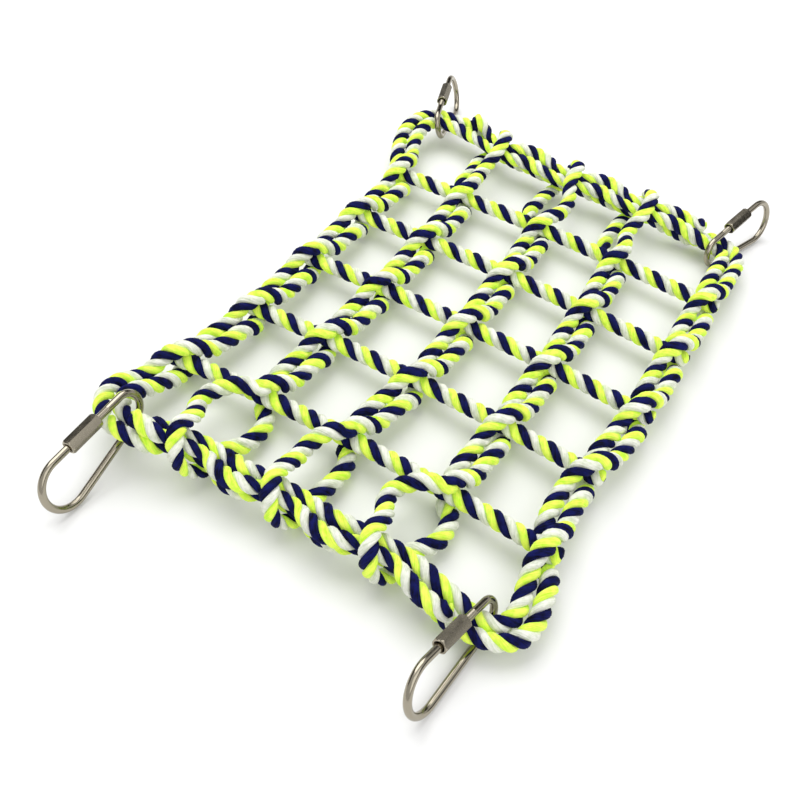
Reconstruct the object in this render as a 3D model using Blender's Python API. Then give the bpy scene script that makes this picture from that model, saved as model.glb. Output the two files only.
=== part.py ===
"""Small rope climbing net with a screw quick link at each corner, lying flat.

Units are metres. X runs across the net, Y along it from the near end to the far
end, Z up. The origin is on the ground under the middle crossing. Five rope
panels are joined by four folds, and each link swings about the border ropes.
"""
import math

import bmesh
import bpy
from mathutils import Matrix, Vector

MM = 0.001

# Rope: the ropes of a pair lie side by side, and stack where a cross rope passes
ROPE_RADIUS = 4.5 * MM
ROPE_SIDES = 8
PAIR_OFFSET = 4.65 * MM
STACK_OFFSET = 8.1 * MM
MID_Z = 12.3 * MM
GROUND_CONTACT = 0.3 * MM
END_REACH = 0.8
END_SCALE = 0.55

# Net layout
CELL = 50 * MM
CROSS_ROWS = 5
ROW_BOW = 4 * MM
HALF_WIDTH = 95 * MM
TWIST_SPAN = 0.36
PAIR_STATIONS = (2.5 * MM, 7 * MM, 16 * MM)
COLUMNS = ("left_edge", "inner_left", "inner_middle", "inner_right", "right_edge")
INNER_COLUMNS = ("inner_left", "inner_middle", "inner_right")

# Folds: each hinge line crosses the net halfway between two cross ropes
FOLD_LINES = (-1.5 * CELL, -0.5 * CELL, 0.5 * CELL, 1.5 * CELL)
FOLD_CLEARANCE = 5.1 * MM

# Cross ropes are pressed flat between the stacked ropes of each pair
PRESSED_HALF_HEIGHT = 3.4 * MM
PRESSED_HALF_WIDTH = 4.7 * MM
CROSS_END_REACH = 4.2 * MM

# End borders: two ropes at the corners, a bundle of three in the middle
CORNER_RADIUS = 13.5 * MM
BORDER_Z = 15.9 * MM
BUNDLE_RADIUS = 5.6 * MM
BUNDLE_RADIUS_PRESSED = 4.0 * MM
ROPE_RADIUS_PRESSED = 3.3 * MM
CORE_START = 80 * MM
CORE_LIFT = 9.0 * MM

# Near a loop the ropes narrow first, then the bundle closes up and is drawn inwards
ROPE_PRESS_REACH = 18.5 * MM
BUNDLE_PRESS_REACH = 17 * MM
PRESS_RAMP = 8 * MM
PULL_REACH = 26 * MM
PULL_RAMP = 21 * MM

# The two corner ropes are drawn together where they pass through a link
HOOKED_OFFSET = 4.0 * MM
HOOKED_RADIUS = 3.85 * MM
HOOKED_SPAN = 9 * MM

# Loops that tie the inner pairs to the end borders
LOOP_SPREAD = 6 * MM
LOOP_REACH = 11.0 * MM
LOOP_RISE = 11.3 * MM
LOOP_HALF_THICKNESS = 3.1 * MM
LOOP_PULL = 4.5 * MM
# End and pair: place of the wrap round the border, middle and half width of the eye
LOOPS = {
    (-1, "inner_left"): (-58.5 * MM, -59.5 * MM, 14.0 * MM),
    (-1, "inner_middle"): (-11.0 * MM, -10.5 * MM, 8.5 * MM),
    (-1, "inner_right"): (37.5 * MM, 38.5 * MM, 13.5 * MM),
    (1, "inner_left"): (-62.0 * MM, -61.0 * MM, 5.2 * MM),
    (1, "inner_middle"): (-12.0 * MM, -9.5 * MM, 10.0 * MM),
    (1, "inner_right"): (36.0 * MM, 35.0 * MM, 5.6 * MM),
}
# Way along an eye, share of its half width, heights of its two limbs over MID_Z
EYE_SHAPE = (
    (0.20, 0.62, 7.2 * MM, -6.5 * MM),
    (0.45, 1.00, 4.2 * MM, -5.5 * MM),
    (0.72, 0.93, 5.2 * MM, -5.2 * MM),
)

# Quick link: a pear-shaped wire loop, wide end outwards
WIRE_RADIUS = 1.75 * MM
WIDE_RADIUS = 12.0 * MM
NARROW_RADIUS = 7.6 * MM
ARC_SPACING = 41.0 * MM
HOOK_OFFSET = 6.0 * MM
SLEEVE_START = 14.0 * MM
SLEEVE_LENGTH = 18.0 * MM
SLEEVE_RADIUS = 3.7 * MM
SLEEVE_BORE = 2.2 * MM
SLEEVE_CHAMFER = 0.6 * MM
GAP_START = 15.5 * MM
GAP_END = 22.3 * MM

# Corner name: side along X, side along Y, hook height, then four angles in
# degrees: turn along the corner arc, slope of the link from wide to narrow end,
# turn in plan, lean
CORNERS = {
    "near_left": (-1, -1, 20.7 * MM, 8.0, 12.0, -2.0, 18.0),
    "near_right": (1, -1, 9.8 * MM, -8.0, -6.0, 6.0, 18.0),
    "far_left": (-1, 1, 15.2 * MM, 20.0, 3.5, 17.0, 18.0),
    "far_right": (1, 1, 10.4 * MM, 19.0, -5.0, -17.0, 15.0),
}

ROPE_COLOUR = (0.70, 0.90, 0.12, 1.0)
BORDER_COLOUR = (0.80, 0.84, 0.74, 1.0)
CROSS_COLOUR = (0.05, 0.06, 0.26, 1.0)
NICKEL_COLOUR = (0.62, 0.60, 0.57, 1.0)


def smooth(value):
    """Ease from 0 to 1 with level ends."""
    value = min(max(value, 0.0), 1.0)
    return value * value * (3.0 - 2.0 * value)


def mix(start, end, share):
    return start + (end - start) * share


def column_x(column, y):
    """Middle of a pair of lengthwise ropes at a place along the net."""
    bow = (y / (150 * MM)) ** 2
    if column == "left_edge":
        near_flare = smooth((-y - 60 * MM) / (80 * MM))
        far_flare = smooth((y - 80 * MM) / (62 * MM))
        return -93 * MM - 11 * MM * near_flare - 21 * MM * far_flare
    if column == "inner_left":
        return -50 * MM - 9 * MM * bow
    if column == "inner_middle":
        near_sway = smooth((-y - 40 * MM) / (60 * MM))
        return -7 * MM * bow - 5 * MM * near_sway
    if column == "inner_right":
        return 48 * MM - 8 * MM * bow
    waist = math.exp(-((y + 75 * MM) / (40 * MM)) ** 2)
    near_flare = smooth((-y - 100 * MM) / (40 * MM))
    return 98 * MM - 8 * MM * waist + 3 * MM * near_flare


def column_across(column, y):
    """Level unit vector square to a pair, towards +X."""
    step = 0.5 * MM
    rise = column_x(column, y + step) - column_x(column, y - step)
    return Vector((2 * step, -rise, 0)).normalized()


def row_y(row, x):
    """Centreline of a cross rope; row 0 passes through the origin."""
    return CELL * row - ROW_BOW * (x / HALF_WIDTH) ** 2


def border_y(end, x):
    """Centreline of an end border; end is -1 for near and 1 for far."""
    left = smooth((-x - 45 * MM) / (40 * MM))
    right = smooth((x - 45 * MM) / (40 * MM))
    if end < 0:
        return -150.5 * MM - 6 * MM * left - 1 * MM * right
    return 154.5 * MM + 8 * MM * left


def pair_point(column, strand, y):
    """Point on one rope of a pair; strand is 1 or -1.

    The ropes change places at every cross rope, one over it and one under it,
    and lie side by side in between.
    """
    x = column_x(column, y)
    phase = (y - row_y(0, x)) / CELL + 3.0
    cell = math.floor(phase)
    share = phase - cell
    if share < 0.5:
        turned = 0.5 * smooth(share / TWIST_SPAN)
    else:
        turned = 1.0 - 0.5 * smooth((1.0 - share) / TWIST_SPAN)
    angle = math.pi / 2 - math.pi * (cell + turned)
    spread = mix(PAIR_OFFSET, STACK_OFFSET, math.sin(angle) ** 2)
    across = column_across(column, y) * (strand * spread * math.cos(angle))
    up = strand * spread * math.sin(angle)
    return Vector((x, y, MID_Z + up)) + across


def crossing_y(column, row):
    """Where a cross rope meets a pair."""
    y = CELL * row
    for _ in range(4):
        y = row_y(row, column_x(column, y))
    return y


def spline(controls, steps):
    """Catmull-Rom curve through the control points."""
    points = []
    last = len(controls) - 1
    for index in range(last):
        a = controls[max(index - 1, 0)]
        b = controls[index]
        c = controls[index + 1]
        d = controls[min(index + 2, last)]
        for step in range(steps):
            t = step / steps
            square = t * t
            cube = square * t
            bend = (2 * a - 5 * b + 4 * c - d) * square
            turn = (3 * b - 3 * c + d - a) * cube
            points.append((2 * b + (c - a) * t + bend + turn) / 2)
    points.append(controls[last])
    return points


def thin(stations, tolerance):
    """Drop stations that a straight run between their neighbours replaces."""
    first = stations[0][0]
    along = stations[-1][0] - first
    worst = 0.0
    split = 0
    for index in range(1, len(stations) - 1):
        offset = stations[index][0] - first
        share = min(max(offset.dot(along) / along.length_squared, 0.0), 1.0)
        miss = (offset - along * share).length
        if miss > worst:
            worst = miss
            split = index
    if worst <= tolerance:
        return [stations[0], stations[-1]]
    head = thin(stations[:split + 1], tolerance)
    tail = thin(stations[split:], tolerance)
    return head[:-1] + tail


def directions(points, closed=False):
    """Direction of travel at each point of a run."""
    result = []
    count = len(points)
    for index in range(count):
        before = points[index] - points[index - 1]
        after = points[(index + 1) % count] - points[index]
        if index == 0 and not closed:
            before = after
        if index == count - 1 and not closed:
            after = before
        result.append((before.normalized() + after.normalized()).normalized())
    return result


def ring(mesh, centre, along, hint, half_hint, half_other, sides):
    """Ring of vertices square to a direction, with flats facing the hint."""
    first = (hint - along * hint.dot(along)).normalized()
    second = along.cross(first)
    vertices = []
    for side in range(sides):
        angle = 2 * math.pi * (side + 0.5) / sides
        offset = first * (half_hint * math.cos(angle))
        offset += second * (half_other * math.sin(angle))
        vertices.append(mesh.verts.new(centre + offset))
    return vertices


def skin(mesh, rings):
    """Join rings into a closed tube with flat end faces."""
    sides = len(rings[0])
    for start, end in zip(rings, rings[1:]):
        for side in range(sides):
            after = (side + 1) % sides
            mesh.faces.new((start[side], start[after], end[after], end[side]))
    mesh.faces.new(list(reversed(rings[0])))
    mesh.faces.new(rings[-1])


def finish(mesh, name, colour, metallic, roughness):
    """Turn a bmesh into a named, smooth-shaded object with its own material."""
    if mesh.calc_volume(signed=True) < 0:
        bmesh.ops.reverse_faces(mesh, faces=mesh.faces[:])
    data = bpy.data.meshes.new(name)
    mesh.to_mesh(data)
    mesh.free()
    part = bpy.data.objects.new(name, data)
    bpy.context.scene.collection.objects.link(part)
    data.shade_smooth()
    data.set_sharp_from_angle(angle=math.radians(50))
    data.materials.append(make_material(name, colour, metallic, roughness))
    return part


def make_material(name, colour, metallic, roughness):
    material = bpy.data.materials.new(name)
    material.use_nodes = True
    shader = material.node_tree.nodes["Principled BSDF"]
    shader.inputs["Base Color"].default_value = colour
    shader.inputs["Metallic"].default_value = metallic
    shader.inputs["Roughness"].default_value = roughness
    material.diffuse_color = colour
    return material


def make_rope(name, stations, hint, colour):
    """Rope along stations of (point, half size towards the hint, half across).

    Both ends are rounded beyond the first and last station, and the rope is
    flat where it rests on the ground.
    """
    mesh = bmesh.new()
    points = [station[0] for station in stations]
    along = directions(points)
    rings = []
    tip = points[0] - along[0] * stations[0][1] * END_REACH
    rings.append(ring(mesh, tip, along[0], hint, stations[0][1] * END_SCALE,
                      stations[0][2] * END_SCALE, ROPE_SIDES))
    for (point, half_hint, half_other), direction in zip(stations, along):
        rings.append(ring(mesh, point, direction, hint, half_hint, half_other, ROPE_SIDES))
    tip = points[-1] + along[-1] * stations[-1][1] * END_REACH
    rings.append(ring(mesh, tip, along[-1], hint, stations[-1][1] * END_SCALE,
                      stations[-1][2] * END_SCALE, ROPE_SIDES))
    for vertex in mesh.verts:
        if vertex.co.z < GROUND_CONTACT:
            vertex.co.z = 0.0
    skin(mesh, rings)
    return finish(mesh, name, colour, 0.0, 0.85)


def round_station(point):
    return (point, ROPE_RADIUS, ROPE_RADIUS)


def pair_run(column, strand, row, start, end):
    """Stations of a pair rope past one cross rope, from start to end along Y."""
    middle = crossing_y(column, row)
    places = [start]
    for offset in reversed(PAIR_STATIONS):
        places.append(middle - offset)
    for offset in PAIR_STATIONS:
        places.append(middle + offset)
    places.append(end)
    kept = []
    for place in places:
        if start <= place <= end:
            kept.append(round_station(pair_point(column, strand, place)))
    return kept


def make_pair_rope(column, strand, panel):
    """One rope of a pair inside a middle panel; panel is 2, 3 or 4."""
    start = FOLD_LINES[panel - 2] + FOLD_CLEARANCE
    end = FOLD_LINES[panel - 1] - FOLD_CLEARANCE
    stations = pair_run(column, strand, panel - 3, start, end)
    letter = "a" if strand > 0 else "b"
    name = "%s_rope_%s_panel_%d" % (column, letter, panel)
    edge = column in ("left_edge", "right_edge")
    colour = BORDER_COLOUR if edge else ROPE_COLOUR
    return make_rope(name, stations, Vector((1, 0, 0)), colour)


def make_cross_rope(number):
    """Rope across the net, pressed flat inside each pair it passes through."""
    row = number - 3
    stations = []
    for column in COLUMNS:
        middle = column_x(column, crossing_y(column, row))
        left = -5 * MM
        right = 5 * MM
        if column == "left_edge":
            left = -CROSS_END_REACH
        else:
            stations.append(cross_station(row, middle - 12 * MM, False))
        if column == "right_edge":
            right = CROSS_END_REACH
        stations.append(cross_station(row, middle + left, True))
        stations.append(cross_station(row, middle + right, True))
        if column != "right_edge":
            stations.append(cross_station(row, middle + 12 * MM, False))
    name = "cross_rope_%d" % number
    return make_rope(name, stations, Vector((0, 0, 1)), CROSS_COLOUR)


def cross_station(row, x, pressed):
    point = Vector((x, row_y(row, x), MID_Z))
    if pressed:
        return (point, PRESSED_HALF_HEIGHT, PRESSED_HALF_WIDTH)
    return round_station(point)


def loop_x(column, end):
    return LOOPS[(end, column)][0]


def border_press(end, x, reach):
    """1 where a loop squeezes the border bundle, 0 beyond a reach from any loop."""
    press = 0.0
    for column in INNER_COLUMNS:
        distance = abs(x - loop_x(column, end))
        press = max(press, smooth((reach - distance) / PRESS_RAMP))
    return press


def corner_frame(side, end):
    """Column position, border position and arc start of a corner."""
    column = "left_edge" if side < 0 else "right_edge"
    y_border = border_y(end, side * 90 * MM)
    y_arc = y_border - end * CORNER_RADIUS
    x_column = column_x(column, y_arc)
    return x_column, y_border, y_arc


def corner_values(side, end):
    """Row of the corner table for one corner."""
    for values in CORNERS.values():
        if values[:2] == (side, end):
            return values
    raise ValueError("no such corner")


def corner_height(side, end):
    return corner_values(side, end)[2]


def hook_point(side, end):
    """Point on the border axis that the link of a corner swings about."""
    x_column, y_border, y_arc = corner_frame(side, end)
    height, arc_turn = corner_values(side, end)[2:4]
    x_centre = x_column - side * CORNER_RADIUS
    if arc_turn < 0:
        x = x_centre + side * CORNER_RADIUS * math.radians(arc_turn)
        return Vector((x, y_border, height))
    angle = math.radians(90 - arc_turn)
    x = x_centre + side * CORNER_RADIUS * math.cos(angle)
    y = y_arc + end * CORNER_RADIUS * math.sin(angle)
    return Vector((x, y, height))


def hooked_share(side, end, axis):
    """1 where the border passes through a link, 0 well away from it."""
    distance = (axis - hook_point(side, end)).length
    return smooth((2 * HOOKED_SPAN - distance) / HOOKED_SPAN)


def corner_station(side, end, axis, across, sign):
    """Station of one of the two ropes at a corner, on one side of their axis."""
    share = hooked_share(side, end, axis)
    offset = mix(PAIR_OFFSET, HOOKED_OFFSET, share)
    radius = mix(ROPE_RADIUS, HOOKED_RADIUS, share)
    return (axis + across * (sign * offset), radius, radius)


def border_column_run(side, end):
    """Pair axis from the last cross rope to the corner arc."""
    column = "left_edge" if side < 0 else "right_edge"
    y_arc = corner_frame(side, end)[2]
    height = corner_height(side, end)
    start = crossing_y(column, 2 * end) + end * 19 * MM
    run = []
    for step in range(9):
        y = mix(start, y_arc, step / 8)
        z = mix(MID_Z, height, smooth(step / 8))
        inward = column_across(column, y) * -side
        run.append((Vector((column_x(column, y), y, z)), inward))
    return run


def border_arc_run(side, end):
    """Pair axis round a corner, from the column side to the border side."""
    x_column, y_border, y_arc = corner_frame(side, end)
    centre = Vector((x_column - side * CORNER_RADIUS, y_arc, corner_height(side, end)))
    run = []
    for step in range(13):
        angle = math.pi / 2 * step / 12
        outward = Vector((side * math.cos(angle), end * math.sin(angle), 0))
        run.append((centre + outward * CORNER_RADIUS, -outward))
    return run


def bundle_place(axis, inward, angle, distance):
    """Point at an angle round a border axis, 0 pointing into the net."""
    up = Vector((0, 0, 1))
    direction = inward * math.cos(angle) + up * math.sin(angle)
    return axis + direction * distance


def border_pull(end, x):
    """How far the loops draw the border into the net."""
    pull = 0.0
    for column in INNER_COLUMNS:
        distance = abs(x - loop_x(column, end))
        pull = max(pull, smooth((PULL_REACH - distance) / PULL_RAMP))
    return LOOP_PULL * pull


def border_axis(end, x):
    side = -1 if x < 0 else 1
    share = smooth((abs(x) - 42 * MM) / (42 * MM))
    z = mix(BORDER_Z, corner_height(side, end), share)
    return Vector((x, border_y(end, x) - end * border_pull(end, x), z))


def border_inward(end, x):
    """Level unit vector square to the border axis, into the net."""
    step = border_axis(end, x + 0.5 * MM) - border_axis(end, x - 0.5 * MM)
    return Vector((step.y, -step.x, 0)).normalized() * end


def border_rope_at(end, x, kind):
    """Station of one of the three border ropes in the middle of an end."""
    axis = border_axis(end, x)
    inward = border_inward(end, x)
    share = smooth((84 * MM - abs(x)) / (16 * MM))
    rope_press = border_press(end, x, ROPE_PRESS_REACH)
    bundle_press = border_press(end, x, BUNDLE_PRESS_REACH)
    radius = mix(ROPE_RADIUS, ROPE_RADIUS_PRESSED, rope_press)
    bundle = mix(BUNDLE_RADIUS, BUNDLE_RADIUS_PRESSED, bundle_press)
    roll = 8 * x / CORE_START * share
    hooked = hooked_share(-1 if x < 0 else 1, end, axis)
    apart = mix(PAIR_OFFSET, HOOKED_OFFSET, hooked)
    if kind != "core":
        radius = mix(radius, HOOKED_RADIUS, hooked)
    if kind == "outer":
        angle = mix(180, 260, share)
        distance = mix(apart, bundle, share)
    elif kind == "inner":
        angle = mix(0, 20, share)
        distance = mix(apart, bundle, share)
    else:
        angle = mix(90, 140, share)
        distance = mix(CORE_LIFT, bundle, share)
    point = bundle_place(axis, inward, math.radians(angle + roll), distance)
    return (point, radius, radius)


def border_row_run(end, x_start, x_end, kind):
    steps = 80
    run = []
    for step in range(steps + 1):
        run.append(border_rope_at(end, mix(x_start, x_end, step / steps), kind))
    return run


def make_border_rope(end, kind):
    """Outer or inner rope of an end border, from one fold line to the other."""
    sign = -1 if kind == "outer" else 1
    runs = []
    for side in (-1, 1):
        column = "left_edge" if side < 0 else "right_edge"
        # The rope that leaves the crossing on this side continues as this strand
        strand = side * sign * end
        fold = FOLD_LINES[0] if end < 0 else FOLD_LINES[3]
        start = fold + end * FOLD_CLEARANCE
        stop = crossing_y(column, 2 * end) + end * 18.5 * MM
        pair = pair_run(column, strand, 2 * end, min(start, stop), max(start, stop))
        if end < 0:
            pair.reverse()
        bend = []
        for axis, inward in border_column_run(side, end)[1:] + border_arc_run(side, end)[1:]:
            bend.append(corner_station(side, end, axis, inward, sign))
        runs.append((pair, thin(bend, 0.3 * MM)))
    reach = abs(corner_frame(1, end)[0] - CORNER_RADIUS)
    left_reach = corner_frame(-1, end)[0] + CORNER_RADIUS
    middle = thin(border_row_run(end, left_reach, reach, kind), 0.3 * MM)
    stations = runs[0][0] + runs[0][1] + middle[1:-1]
    stations += list(reversed(runs[1][1])) + list(reversed(runs[1][0]))
    name = "%s_border_%s_rope" % ("near" if end < 0 else "far", kind)
    return make_rope(name, stations, Vector((0, 0, 1)), BORDER_COLOUR)


def make_core_rope(end):
    """Third border rope, between the corners only."""
    right_end = CORE_START - 8 * MM
    stations = thin(border_row_run(end, -CORE_START, right_end, "core"), 0.3 * MM)
    name = "%s_border_core_rope" % ("near" if end < 0 else "far")
    return make_rope(name, stations, Vector((0, 0, 1)), CROSS_COLOUR)


def loop_controls(column, end):
    """Control points from the upper rope over, round and under the border."""
    x_wrap, x_eye, half_eye = LOOPS[(end, column)]
    crossing = crossing_y(column, 2 * end)
    inward = Vector((0, -end, 0))
    up = Vector((0, 0, 1))
    # Seen from above, the upper limb is on the left at the near end, right at the far
    first = border_axis(end, x_wrap + end * LOOP_SPREAD * 1.1) + inward * (11 * MM)
    last = border_axis(end, x_wrap - end * LOOP_SPREAD * 1.1) + inward * (11 * MM)
    upper = []
    lower = []
    for share, width, rise, drop in EYE_SHAPE:
        y = mix(crossing, (first.y + last.y) / 2, share)
        aside = end * half_eye * width
        middle = mix(column_x(column, crossing), x_eye, min(share / 0.45, 1))
        upper.append(Vector((middle + aside, y, MID_Z + rise)))
        lower.append(Vector((middle - aside, y, MID_Z + drop)))
    controls = upper + [first + up * (6.6 * MM)]
    for step in range(9):
        angle = math.pi / 2 + math.pi * step / 8
        x = mix(x_wrap + end * LOOP_SPREAD, x_wrap - end * LOOP_SPREAD, step / 8)
        axis = border_axis(end, x)
        offset = inward * (LOOP_REACH * math.cos(angle)) + up * (LOOP_RISE * math.sin(angle))
        controls.append(axis + offset)
    controls.append(last - up * (8.6 * MM))
    return controls + list(reversed(lower))


def make_loop_rope(column, end):
    """Both ropes of an inner pair as one rope looped round an end border."""
    fold = FOLD_LINES[0] if end < 0 else FOLD_LINES[3]
    start = fold + end * FOLD_CLEARANCE
    stop = crossing_y(column, 2 * end) + end * 4 * MM
    halves = []
    for strand in (-1, 1):
        pair = pair_run(column, strand, 2 * end, min(start, stop), max(start, stop))
        if end < 0:
            pair.reverse()
        halves.append(pair)
    controls = [halves[0][-2][0], halves[0][-1][0]] + loop_controls(column, end)
    controls += [halves[1][-1][0], halves[1][-2][0]]
    curve = spline(controls, 6)[6:-6]
    centre_y = border_axis(end, loop_x(column, end)).y
    stations = []
    for point in curve:
        near_wrap = smooth((20 * MM - abs(point.y - centre_y)) / (8 * MM))
        half = mix(ROPE_RADIUS, LOOP_HALF_THICKNESS, near_wrap)
        stations.append((point, ROPE_RADIUS, half))
    kept = thin(stations[:len(stations) // 2 + 1], 0.35 * MM)
    kept += thin(stations[len(stations) // 2:], 0.35 * MM)[1:]
    stations = halves[0][:-1] + kept + list(reversed(halves[1][:-1]))
    name = "%s_loop_%s_rope" % ("near" if end < 0 else "far", column[6:])
    return make_rope(name, stations, Vector((1, 0, 0)), ROPE_COLOUR)


def link_matrix(corner):
    """Placement of a quick link: origin on its swing axis, Y to the narrow end."""
    side, end = CORNERS[corner][:2]
    slope, plan_turn, lean = CORNERS[corner][4:]
    origin = hook_point(side, end)
    heading = math.radians(plan_turn)
    rise = math.radians(slope)
    inward = Vector((math.sin(heading) * math.cos(rise),
                     -end * math.cos(heading) * math.cos(rise), math.sin(rise)))
    level = inward.cross(Vector((0, 0, 1))).normalized()
    upright = level.cross(inward)
    tilt = math.radians(lean) * (1 if end < 0 else -1)
    upper = upright * math.cos(tilt) - level * math.sin(tilt)
    normal = inward.cross(upper)
    rotation = Matrix((normal, inward, upper)).transposed()
    return Matrix.Translation(origin) @ rotation.to_4x4()


def leg_tangents():
    """Ends of the upper straight leg: narrow end first, as (Y, Z)."""
    lean = (WIDE_RADIUS - NARROW_RADIUS) / ARC_SPACING
    rise = math.sqrt(1 - lean * lean)
    narrow = Vector((0, HOOK_OFFSET + NARROW_RADIUS * lean, NARROW_RADIUS * rise))
    wide_centre = HOOK_OFFSET - ARC_SPACING
    wide = Vector((0, wide_centre + WIDE_RADIUS * lean, WIDE_RADIUS * rise))
    return narrow, wide


def make_link_body(corner):
    """Bent wire of a quick link, open on the upper leg where the sleeve sits."""
    narrow, wide = leg_tangents()
    leg = (wide - narrow).normalized()
    reach = math.asin((WIDE_RADIUS - NARROW_RADIUS) / ARC_SPACING)
    points = [narrow + leg * GAP_START, narrow + leg * (GAP_START * 0.35)]
    narrow_steps = 7
    for step in range(narrow_steps + 1):
        angle = mix(math.pi / 2 - reach, -math.pi / 2 + reach, step / narrow_steps)
        offset = Vector((0, math.cos(angle), math.sin(angle))) * NARROW_RADIUS
        points.append(Vector((0, HOOK_OFFSET, 0)) + offset)
    wide_steps = 9
    for step in range(wide_steps + 1):
        angle = mix(-math.pi / 2 + reach, -3 * math.pi / 2 - reach, step / wide_steps)
        offset = Vector((0, math.cos(angle), math.sin(angle))) * WIDE_RADIUS
        points.append(Vector((0, HOOK_OFFSET - ARC_SPACING, 0)) + offset)
    points.append(narrow + leg * GAP_END)
    mesh = bmesh.new()
    rings = []
    for point, direction in zip(points, directions(points)):
        rings.append(ring(mesh, point, direction, Vector((1, 0, 0)), WIRE_RADIUS,
                          WIRE_RADIUS, ROPE_SIDES))
    skin(mesh, rings)
    part = finish(mesh, corner + "_link_body", NICKEL_COLOUR, 1.0, 0.28)
    part.matrix_world = link_matrix(corner)
    return part


def make_link_sleeve(corner):
    """Six-sided threaded sleeve that closes the gap in a quick link."""
    narrow, wide = leg_tangents()
    leg = (wide - narrow).normalized()
    mesh = bmesh.new()
    sides = 12
    profile = (
        (0.0, SLEEVE_RADIUS - SLEEVE_CHAMFER),
        (SLEEVE_CHAMFER, SLEEVE_RADIUS),
        (SLEEVE_LENGTH - SLEEVE_CHAMFER, SLEEVE_RADIUS),
        (SLEEVE_LENGTH, SLEEVE_RADIUS - SLEEVE_CHAMFER),
        (SLEEVE_LENGTH, SLEEVE_BORE),
        (0.0, SLEEVE_BORE),
    )
    rings = []
    for place, radius in profile:
        vertices = []
        for side in range(sides):
            angle = 2 * math.pi * side / sides
            size = radius
            if radius > SLEEVE_BORE and side % 2:
                size = radius * math.cos(math.pi / 6)
            corner_x = size * math.cos(angle)
            corner_z = size * math.sin(angle)
            vertices.append(mesh.verts.new((corner_x, place, corner_z)))
        rings.append(vertices)
    for index, start in enumerate(rings):
        end = rings[(index + 1) % len(rings)]
        for side in range(sides):
            after = (side + 1) % sides
            mesh.faces.new((start[side], start[after], end[after], end[side]))
    part = finish(mesh, corner + "_link_sleeve", NICKEL_COLOUR, 1.0, 0.35)
    across = Vector((1, 0, 0))
    rotation = Matrix((across, leg, across.cross(leg))).transposed()
    seat = Matrix.Translation(narrow + leg * SLEEVE_START) @ rotation.to_4x4()
    part.matrix_world = link_matrix(corner) @ seat
    return part


def clear_scene():
    for item in list(bpy.data.objects):
        bpy.data.objects.remove(item, do_unlink=True)


def build():
    clear_scene()
    for number in range(1, CROSS_ROWS + 1):
        make_cross_rope(number)
    for panel in (2, 3, 4):
        for column in COLUMNS:
            make_pair_rope(column, 1, panel)
            make_pair_rope(column, -1, panel)
    for end in (-1, 1):
        make_border_rope(end, "outer")
        make_border_rope(end, "inner")
        make_core_rope(end)
        for column in INNER_COLUMNS:
            make_loop_rope(column, end)
    for corner in CORNERS:
        make_link_body(corner)
        make_link_sleeve(corner)


build()
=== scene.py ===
import math

import bpy
import numpy as np
from mathutils import Matrix, Vector


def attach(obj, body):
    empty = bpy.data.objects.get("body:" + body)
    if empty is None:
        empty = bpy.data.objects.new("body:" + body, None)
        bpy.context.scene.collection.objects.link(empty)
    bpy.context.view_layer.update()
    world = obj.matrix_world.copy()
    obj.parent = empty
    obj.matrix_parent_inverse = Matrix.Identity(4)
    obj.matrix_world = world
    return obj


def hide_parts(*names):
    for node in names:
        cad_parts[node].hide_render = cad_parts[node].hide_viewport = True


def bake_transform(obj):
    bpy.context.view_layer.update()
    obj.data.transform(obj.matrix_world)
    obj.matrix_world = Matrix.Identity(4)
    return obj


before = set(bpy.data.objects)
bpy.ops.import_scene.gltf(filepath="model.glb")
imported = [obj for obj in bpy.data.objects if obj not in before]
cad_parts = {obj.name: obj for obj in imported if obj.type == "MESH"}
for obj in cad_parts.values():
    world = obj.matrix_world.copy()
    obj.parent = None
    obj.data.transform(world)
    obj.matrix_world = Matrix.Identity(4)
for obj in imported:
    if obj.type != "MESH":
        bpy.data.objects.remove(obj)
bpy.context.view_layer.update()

MM = 0.001
X_AXIS = np.array((1.0, 0.0, 0.0))
Z_AXIS = np.array((0.0, 0.0, 1.0))

# Layout of the net, as in the CAD but with ropes a little thinner, in millimetres
PAIR_OFFSET = 4.38
STACK_OFFSET = 7.2
MID_Z = 12.3
CELL = 50.0
ROW_BOW = 4.0
HALF_WIDTH = 95.0
TWIST_SPAN = 0.36
COLUMNS = ("left_edge", "inner_left", "inner_middle", "inner_right", "right_edge")
INNER_COLUMNS = COLUMNS[1:4]
PANELS = ("near_panel", "near_middle_panel", "middle_panel", "far_middle_panel", "far_panel")
CORNER_RADIUS = 13.5
BORDER_Z = 15.9
BUNDLE_RADIUS = 5.3
BUNDLE_RADIUS_PRESSED = 3.9
CORE_START = 80.0
CORE_LIFT = 9.0
HOOKED_OFFSET = 4.0
HOOKED_SPAN = 9.0
LOOP_SPREAD = 6.0
LOOP_REACH = 10.5
LOOP_RISE = 10.6
LOOP_HALF_THICKNESS = 3.05
LOOP_PULL = 4.5
LOOP_ENTRY = 11.0
LOOP_ENTRY_RISE = 6.6
LOOP_EXIT_DROP = 8.6
# Near a loop the ropes narrow first, then the bundle closes up and is drawn inwards
ROPE_PRESS_REACH = 18.5
BUNDLE_PRESS_REACH = 17.0
PRESS_RAMP = 8.0
PULL_REACH = 26.0
PULL_RAMP = 21.0
# End and pair: place of the wrap round the border, middle and half width of the eye
LOOPS = {
    (-1, "inner_left"): (-58.5, -59.5, 14.0),
    (-1, "inner_middle"): (-11.0, -10.5, 8.5),
    (-1, "inner_right"): (37.5, 38.5, 13.5),
    (1, "inner_left"): (-62.0, -61.0, 5.2),
    (1, "inner_middle"): (-12.0, -9.5, 10.0),
    (1, "inner_right"): (36.0, 35.0, 5.6),
}
# Way along an eye, share of its half width, heights of its two limbs over MID_Z
EYE_SHAPE = ((0.20, 0.62, 7.2, -6.5), (0.45, 1.00, 4.2, -5.5), (0.72, 0.93, 5.2, -5.2))

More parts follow.
